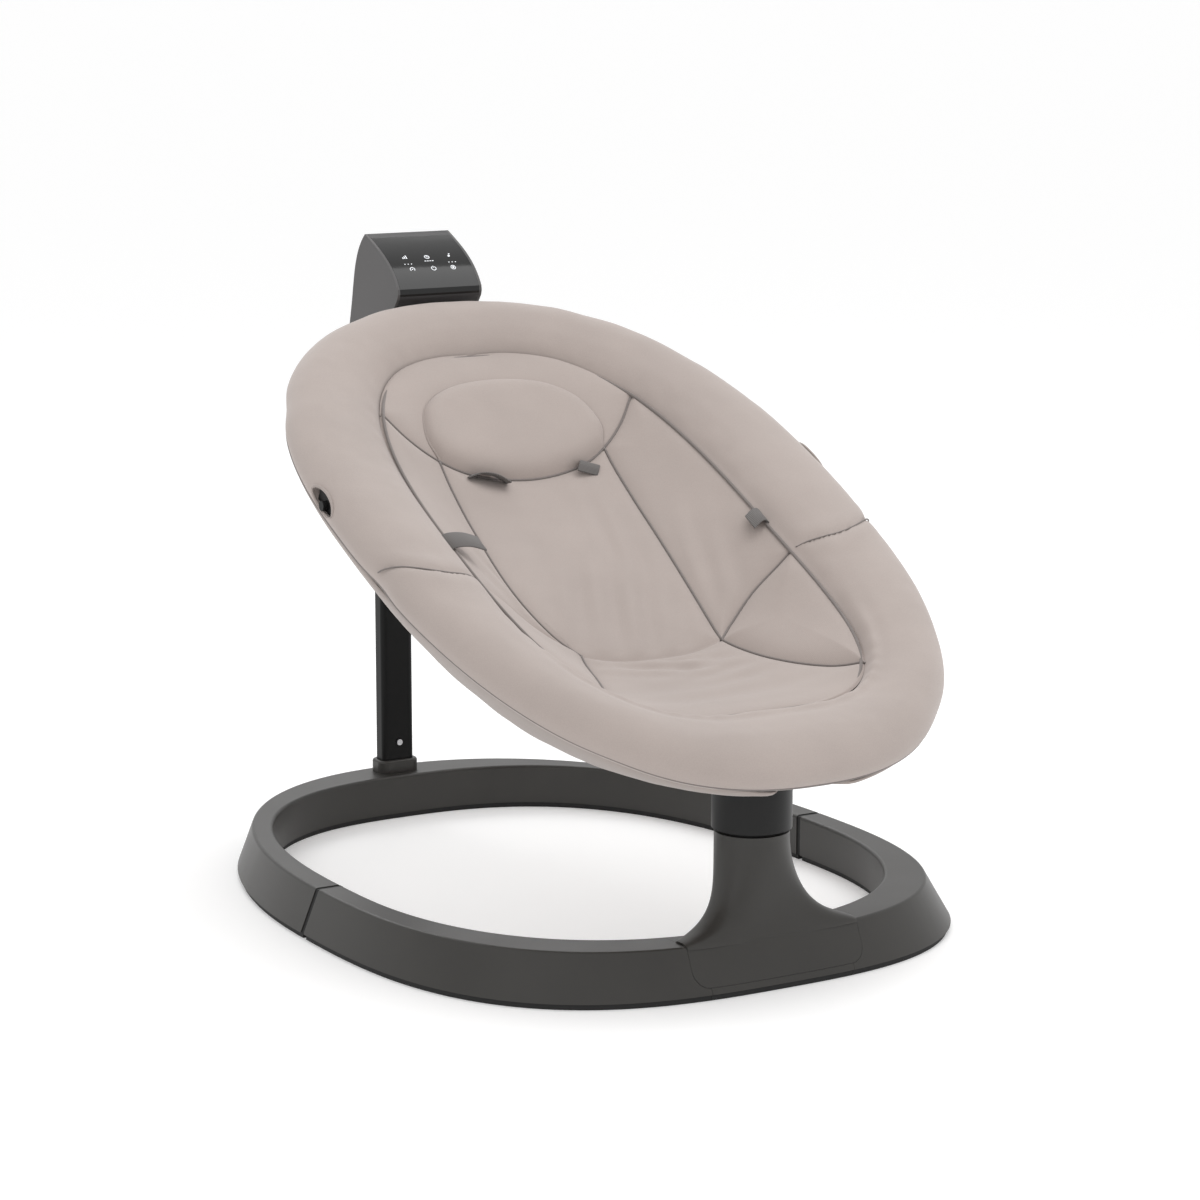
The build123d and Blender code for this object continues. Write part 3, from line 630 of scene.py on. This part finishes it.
# Rim section from the opening (x = 0) to the outer edge (x = 1): (x, w).
RIM_SECTION = (
    (0.0, -9.0), (0.03, -5.5), (0.10, 3.0), (0.20, 10.5), (0.34, 16.8), (0.58, 21.5),
    (0.80, 19.5), (0.94, 11.0), (1.0, 0.0), (0.985, -9.0), (0.93, -15.0), (0.7, -16.0),
    (0.35, -16.0), (0.1, -15.0),
)
SEAM_OUTER_V = -42.0
SEAM_INNER_V = -60.0
SEAM_ARCH = -22.0


def rim_seam_v(x):
    """Where the sewn joint across the rim lies, from the opening to the outer edge."""
    return SEAM_INNER_V + (SEAM_OUTER_V - SEAM_INNER_V) * x + SEAM_ARCH * np.sin(math.pi * x)


def closed_curve(points, count):
    """Evenly spaced points on a smooth closed curve through a few points."""
    p = np.array(points, dtype=float)
    line = curve_through(np.vstack([p[-2:], p, p[:2]]), 20)
    line = line[2 * 20 - 20:-2 * 20]
    step = np.diff(line * np.array([90.0, 1.0]), axis=0)
    length = np.concatenate([[0], np.cumsum(np.hypot(step[:, 0], step[:, 1]))])
    at = np.linspace(0, length[-1], count, endpoint=False)
    return np.stack([np.interp(at, length, line[:, 0]), np.interp(at, length, line[:, 1])], -1)


def rim_seam_relief(v, x):
    """The seam's groove and the wadding that swells on both sides of it."""
    distance = np.abs(v - rim_seam_v(x))
    return -2.4 * np.exp(-(distance / 3.0) ** 2) + 1.4 * np.exp(-((distance - 15) / 12) ** 2)


# Where the cover is pulled in over the frame: (angle, width in radians, depth).
PULLS = ((-0.16, 0.05, 3.5), (0.62, 0.09, 3.0), (1.05, 0.08, 2.5), (1.95, 0.1, 2.0),
         (2.6, 0.09, 3.0), (3.30, 0.05, 3.5), (4.1, 0.12, 2.0), (5.3, 0.12, 2.0))


def rim_pull(angle):
    """How far the cover's outer edge is drawn in at each angle round the rim."""
    draw = np.zeros_like(angle)
    for place, width, depth in PULLS:
        off = (angle - place + math.pi) % (2 * math.pi) - math.pi
        draw += depth * np.exp(-(off / width) ** 2)
    return draw


RIM_STEPS = 460
RIM_SECTION_STEPS = 72


def rim_surface(angles):
    """The stuffed rim as rows of points round it, and how far each faces up (0 to 1)."""
    outer_u, outer_v = outline(RIM, angles, rim_pull(angles))
    inner_u, inner_v = outline(OPENING, angles)
    section = closed_curve(RIM_SECTION, RIM_SECTION_STEPS)
    x, w = section[:, 0], section[:, 1]
    u = inner_u[:, None] + (outer_u - inner_u)[:, None] * x
    v = inner_v[:, None] + (outer_v - inner_v)[:, None] * x
    # The stuffing is fuller at the head end, and stands steeper round the foot end.
    crown = 1 + 0.18 * smooth_step((v - 180) / 160)
    w = np.where(w > 0, w * crown, w)
    steep = 6.0 * np.exp(-((x[None, :] - 0.1) / 0.07) ** 2) * smooth_step((-v - 130) / 120)
    w = w + steep * (section[:, 1] > -8)
    upper = smooth_step((w + 4) / 12)
    w = w + rim_seam_relief(v, x[None, :]) * upper
    return np.stack([u, v, w], -1), x, upper


def make_rim():
    angles = even_angles(RIM, RIM_STEPS)
    points, x, upper = rim_surface(angles)
    lumps = 1.6 * fbm(points, 120.0, 2, 5.0) + 0.5 * fbm(points, 30.0, 2, 1.0)
    # Small gathers where the cover is sewn to the piping of the opening.
    gathers = np.exp(-((x[None, :] - 0.05) / 0.12) ** 2)
    gathers = 0.7 * gathers * np.sin(angles[:, None] * 47 + 2 * np.sin(angles[:, None] * 7))
    points[..., 2] += lumps * upper
    points[..., 2] += gathers * upper
    rim = grid_object("rim", points, wrap_rows=True, wrap_columns=True)
    cut_windows(rim)
    dress(rim, FABRIC)
    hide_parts("rim_cover")
    make_piping(angles)


# The cover's openings at the frame joints: each is an ellipse in v and w (centre and
# half width of each), cut in as far as the floor, a distance from the middle.
WINDOW = (81.0, 25.0, 1.5, 9.5)
WINDOW_FLOOR = 262.0


def cut_windows(rim):
    """Opens the cover at the two frame joints, where the release buttons sit."""
    centre_v, half_v, centre_w, half_w = WINDOW
    turn = np.linspace(0, 2 * math.pi, 48, endpoint=False)
    ring = np.stack([centre_v + half_v * np.cos(turn), centre_w + half_w * np.sin(turn)], -1)
    cutters = []
    for side in (-1, 1):
        rows = [np.column_stack([np.full(len(ring), side * u), ring])
                for u in (WINDOW_FLOOR, RIM[0] + 20)]
        cutter = grid_object("cutter", np.stack(rows), wrap_columns=True)
        cap_ends(cutter)
        modifier(rim, "BOOLEAN", operation="DIFFERENCE", solver="EXACT", object=cutter)
        cutters.append(cutter)
    graph = bpy.context.evaluated_depsgraph_get()
    rim.data = bpy.data.meshes.new_from_object(rim.evaluated_get(graph))
    rim.modifiers.clear()
    for cutter in cutters:
        bpy.data.objects.remove(cutter)
    rim.data.shade_smooth()
    rim.data.set_sharp_from_angle(angle=math.radians(50))


def rim_top(x):
    """Height of the rim's upper surface at x across it."""
    section = closed_curve(RIM_SECTION, 400)
    top = section[section[:, 1] > -3]
    top = top[np.argsort(top[:, 0])]
    return np.interp(x, top[:, 0], top[:, 1])


def rim_outer_at(v):
    """Half the width of the rim's outer outline at v."""
    half_width, front, rear, front_power, rear_power, centre = RIM
    reach = np.where(v < centre, front, rear)
    power = np.where(v < centre, front_power, rear_power)
    return half_width * (1 - (np.abs(v - centre) / reach) ** power) ** (1 / power)


PIPING_RADIUS = 1.7
EDGE_PIPING_INSET, EDGE_PIPING_W = 3.0, -10.5


def make_piping(angles):
    """The piping round the opening and the outer edge, and the two side seams."""
    inner_u, inner_v = outline(OPENING, angles, 1.2)
    height = np.minimum(-3.0, 2.5 - EDGE_DEPTH * np.clip(1 - (inner_v / 320.0) ** 2, 0, 1))
    line = np.stack([inner_u, inner_v, height], -1)
    dress(tube("opening_piping", line, PIPING_RADIUS), PIPING)
    outer_u, outer_v = outline(RIM, angles, rim_pull(angles) + EDGE_PIPING_INSET)
    line = np.stack([outer_u, outer_v, np.full_like(outer_u, EDGE_PIPING_W)], -1)
    dress(tube("edge_piping", line, PIPING_RADIUS), PIPING)
    for side, word in ((-1, "left"), (1, "right")):
        make_rim_seam(side, word)
        make_window_binding(side, word)


def make_rim_seam(side, word):
    """The thin line of stitching across the rim at one side."""
    x = np.linspace(0.04, 0.985, 50)
    v = rim_seam_v(x)
    inner = half_width_at(v)
    u = side * (inner + (rim_outer_at(v) - inner) * x)
    line = np.stack([u, v, rim_top(x) - 1.0], -1)
    dress(tube(f"{word}_rim_seam", line, 0.9, 6, False), PIPING)


def make_window_binding(side, word):
    """The bound edge of one of the cover's two openings."""
    centre_v, half_v, centre_w, half_w = WINDOW
    turn = np.linspace(0, 2 * math.pi, 60, endpoint=False)
    v = centre_v + half_v * np.cos(turn)
    w = centre_w + half_w * np.sin(turn)
    # The rim's outer face curves away above and below its widest line.
    u = side * (rim_outer_at(v) - 0.9 - 0.035 * w ** 2)
    # The binding uses the darkened fabric copy: painted shade round the opening.
    dress(tube(f"{word}_window_binding", np.stack([u, v, w], -1), 1.5, 8), SHADED_FABRIC)


# ---------------------------------------------------------------------- sling

# The sling's middle line: (v, depth) of its underside.
SLING_DEPTH = np.array((
    (-420, 16), (-395, 30), (-350, 52), (-300, 72), (-230, 94), (-165, 108), (-110, 113),
    (-50, 112), (60, 104), (176, 90), (270, 68), (330, 48), (378, 28), (408, 16),
), dtype=float)
SLING_EDGE = 11.0
SLING_POWER = 4.2
SLING_BLUR = (-20, -8, 0, 8, 20)
SLING_STEPS = 320
SLING_RINGS = np.concatenate([[1.0, 0.99, 0.975, 0.955], np.linspace(0.93, 0.02, 60)])[:, None]
GATE_HALF_WIDTH = 34.0
GATE_DEPTH = 0.075


def sling_depth(u, v):
    """How far the sling's cloth hangs below the rim plane at (u, v)."""
    middle = sum(
        np.interp(v + shift, SLING_DEPTH[:, 0], SLING_DEPTH[:, 1]) for shift in SLING_BLUR
    ) / len(SLING_BLUR)
    centre = RIM[5]
    along = np.abs(v - centre) / np.where(v < centre, 475, 358)
    half = RIM[0] * np.clip(1 - along ** 2.3, 0.01, 1)
    r = np.clip(np.abs(u) / (half ** (1 / 2.3) * RIM[0] ** (1 - 1 / 2.3)), 0, 1)
    return SLING_EDGE + np.clip(middle - SLING_EDGE, 0, 200) * (1 - r ** SLING_POWER)


def make_sling():
    """The outer sling: cloth from the rim's outer seam down round the bowl."""
    angles = even_angles(RIM, SLING_STEPS)
    edge_u, edge_v = outline(RIM, angles, rim_pull(angles) + EDGE_PIPING_INSET)
    # The cloth is cut back where the hub and the front arm come through.
    gate = np.exp(-(np.abs(edge_u) / GATE_HALF_WIDTH) ** 4)
    centre_v = RIM[5] - 60.0
    rho = SLING_RINGS
    reach = 1 - GATE_DEPTH * gate
    u = rho * reach * edge_u
    v = centre_v + rho * reach * (edge_v - centre_v)
    w = -sling_depth(u, v)
    w += 5.0 * smooth_step((rho - 0.985) / 0.015)
    sample = np.stack([u, v, w], -1)
    fade = smooth_step((1 - rho) / 0.1)
    w += (1.8 * fbm(sample, 110.0, 2, 12.0) + 0.7 * fbm(sample, 32.0, 2, 4.0)) * fade
    points = np.stack([u, v, w], -1)
    sling = grid_object("sling", points, wrap_columns=True)
    close_rings(sling, len(angles), [len(sling.data.vertices) - len(angles)])
    modifier(sling, "SOLIDIFY", thickness=0.0015, offset=0.0)
    # The sling uses the darkened fabric copy: painted shade under the rim.
    dress(sling, SHADED_FABRIC)
    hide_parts("seat_sling")


# --------------------------------------------------------------------- straps


STRAP_WIDTH = 25.0
STRAP_THICKNESS = 1.7
SELVEDGE = 0.8


def make_strap(name, node, path, across):
    """A length of webbing along a path of seat coordinates, across one direction."""
    line = curve_through(path, 10)
    across = np.array(across, dtype=float)
    across /= np.linalg.norm(across)
    tangent = np.gradient(line, axis=0)
    tangent /= np.linalg.norm(tangent, axis=1, keepdims=True)
    up = np.cross(tangent, across)
    up /= np.linalg.norm(up, axis=1, keepdims=True)
    h, t = STRAP_WIDTH / 2, STRAP_THICKNESS / 2
    flat = h - SELVEDGE
    corners = ((-h, -t * 0.4), (-flat, -t), (flat, -t), (h, -t * 0.4),
               (h, t * 0.4), (flat, t), (-flat, t), (-h, t * 0.4))
    points = np.stack([line + a * across + b * up for a, b in corners], 1)
    strap = grid_object(name, points, wrap_columns=True)
    cap_ends(strap)
    dress(strap, WEBBING)
    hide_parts(node)


# Each strap's end as it lies: (name, width direction, points of its middle line).
STRAPS = (
    ("right_shoulder", (27, -5, -7),
     ((75, 169, -45), (71, 163, -39), (66, 156, -38), (62, 150, -42))),
    ("left_shoulder", (-3, -8, 6),
     ((-74, 166, -46), (-62, 161, -38), (-48, 154, -37), (-34, 147, -43))),
    ("right_waist", (3, 26, -2),
     ((186, -1, -9), (179, -1, -4), (171, -4, -4), (163, -8, -8))),
    ("left_waist", (0, 26, 0),
     ((-190, 7, -10), (-180, 6, -4), (-164, 5, -4), (-147, 3, -9))),
)


def make_straps():
    for word, across, path in STRAPS:
        make_strap(f"{word}_web", f"{word}_strap", path, across)


# ---------------------------------------------------------------- touch icons


def panel_tree():
    """A search tree of the touch panel's surface, for laying icons on it."""
    mesh = frame["nodes"]["touch_panel"].data
    return BVHTree.FromPolygons(
        [v.co for v in mesh.vertices], [p.vertices for p in mesh.polygons]
    )


RING_ICON_STEPS = 24


def ring_icon(radius, width, gap=0.0, turn=0.0):
    """A ring in short pieces, open by the angle gap at the angle turn."""
    start, end = turn + gap / 2, turn + 2 * math.pi - gap / 2
    angle = np.linspace(start, end, RING_ICON_STEPS + 1)
    circle = np.stack([np.cos(angle), np.sin(angle)], -1)
    inner, outer = (radius - width) * circle, radius * circle
    return [np.concatenate([outer[i:i + 2], inner[i:i + 2][::-1]])
            for i in range(RING_ICON_STEPS)]


def bar_icon(x, y, width, height):
    left, right = x - width / 2, x + width / 2
    low, high = y - height / 2, y + height / 2
    return [np.array([(left, low), (right, low), (right, high), (left, high)])]


def icon_shapes():
    """Generic control symbols as flat outlines: (across, up the panel, outlines)."""
    power = ring_icon(3.0, 0.7, 1.1, math.pi / 2) + bar_icon(0, 2.2, 0.7, 2.6)
    timer = ring_icon(3.0, 0.7) + bar_icon(0, 0.9, 0.6, 2.0) + bar_icon(0.7, 0, 1.8, 0.6)
    note = ring_icon(1.3, 1.2) + bar_icon(1.2, 2.0, 0.6, 4.2) + bar_icon(2.0, 3.8, 1.8, 0.7)
    level = [b for k in range(3) for b in bar_icon(-2.2 + 2.2 * k, 0.8 * k, 1.0, 2.4 + 1.6 * k)]
    sway = ring_icon(3.0, 0.7, 1.6, -math.pi / 2) + bar_icon(0, 0, 1.2, 1.2)
    target = ring_icon(3.0, 0.7) + ring_icon(1.2, 1.1)
    dots = [d for k in range(3) for d in bar_icon(-4 + 4 * k, 0, 1.2, 1.0)]
    dashes = [d for k in range(4) for d in bar_icon(-4.5 + 3 * k, 0, 2.0, 0.9)]
    return (
        (-27, 41, level), (0, 41, timer), (27, 41, note),
        (-27, 31, dots), (0, 34.5, dashes), (27, 31, dots),
        (-25, 23, sway), (1, 23, power), (25, 23, target),
    )


INK_THICKNESS = 0.0002
INK_LIFT = 0.00025


def make_icons():
    """The panel's printed symbols, laid on its curved face by rays."""
    tree = panel_tree()
    low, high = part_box("touch_panel")
    foot = Vector((0, low.y + 0.004, low.z + 0.006))
    right = Vector((1, 0, 0))
    slope = Vector((0, high.y - low.y, high.z - low.z)).normalized()
    outward = Vector((0, -slope.z, slope.y))
    vertices, faces = [], []
    for across, up, shapes in icon_shapes():
        for shape in shapes:
            start = len(vertices)
            for x, y in shape:
                spot = foot + right * (across + x) * MM + slope * (up + y) * MM
                hit = tree.ray_cast(spot + outward * 0.05, -outward)[0]
                vertices.append(hit + outward * INK_LIFT)
            faces.append(tuple(range(start, start + len(shape))))
    icons = new_object("panel_icons", vertices, faces, smooth=False)
    modifier(icons, "SOLIDIFY", thickness=INK_THICKNESS, offset=0.0)
    dress(icons, icon_material(), "base")


def icon_material():
    # The printed ink gets a weak emission: a painted glow.
    shader = Shader("icon_ink_painted_glow", (0.82, 0.84, 0.86), 0.4, emission_strength=0.35)
    shader.bsdf.inputs["Emission Color"].default_value = (0.9, 0.93, 1.0, 1)
    speck = shader.noise(3000.0, 2.0)
    shader.bump(speck, "Fac", 0.00001, 0.3)
    return shader.material


# ------------------------------------------------------------ camera and stage


def studio_material():
    shader = Shader("studio_floor", (0.86, 0.86, 0.86), 0.8, emission_strength=0.22)
    shader.bsdf.inputs["Emission Color"].default_value = (1, 1, 1, 1)
    return shader.material


FLOOR_REACH = 80.0
WORLD_STRENGTH = 0.88


def make_stage():
    mesh = bpy.data.meshes.new("floor")
    corners = [(-1, -1), (1, -1), (1, 1), (-1, 1)]
    vertices = [(x * FLOOR_REACH, y * FLOOR_REACH, 0) for x, y in corners]
    mesh.from_pydata(vertices, [], [(0, 1, 2, 3)])
    floor = bpy.data.objects.new("floor", mesh)
    bpy.context.collection.objects.link(floor)
    mesh.materials.append(studio_material())
    world = bpy.data.worlds.new("studio")
    world.use_nodes = True
    background = world.node_tree.nodes["Background"]
    background.inputs["Color"].default_value = (1, 1, 1, 1)
    background.inputs["Strength"].default_value = WORLD_STRENGTH
    bpy.context.scene.world = world


def area_light(name, place, target, size, power):
    """A soft rectangular lamp aimed at a target."""
    data = bpy.data.lights.new(name, "AREA")
    data.shape = "RECTANGLE"
    data.size, data.size_y = size
    data.energy = power
    light = bpy.data.objects.new(name, data)
    light.location = place
    direction = Vector(target) - Vector(place)
    light.rotation_euler = direction.to_track_quat("-Z", "Y").to_euler()
    bpy.context.collection.objects.link(light)


VIEW_AZIMUTH = math.radians(-30.84)
VIEW_ELEVATION = math.radians(10.71)
VIEW_DISTANCE = 3.622
VIEW_LENS = 105.5
VIEW_TARGET = Vector((0.0241, -0.0043, 0.3114))


def make_camera():
    data = bpy.data.cameras.new("camera")
    data.lens = VIEW_LENS
    data.sensor_width = 36
    camera = bpy.data.objects.new("camera", data)
    back = Vector((
        math.sin(VIEW_AZIMUTH) * math.cos(VIEW_ELEVATION),
        -math.cos(VIEW_AZIMUTH) * math.cos(VIEW_ELEVATION),
        math.sin(VIEW_ELEVATION),
    ))
    camera.location = VIEW_TARGET + back * VIEW_DISTANCE
    camera.rotation_euler = (-back).to_track_quat("-Z", "Y").to_euler()
    bpy.context.collection.objects.link(camera)
    bpy.context.scene.camera = camera


make_camera()
make_stage()
bpy.context.scene.view_settings.view_transform = "Standard"
area_light("key", (0.9, -0.7, 3.0), (0, 0, 0.3), (2.2, 2.2), 30)
area_light("fill", (-2.6, -1.6, 1.4), (0, 0, 0.3), (2.0, 2.0), 5)
area_light("rim_light", (0.6, 2.4, 2.2), (0, 0, 0.4), (2.0, 1.2), 20)
finish_cad_nodes()
make_panels()
make_rim()
make_sling()
make_straps()
make_icons()
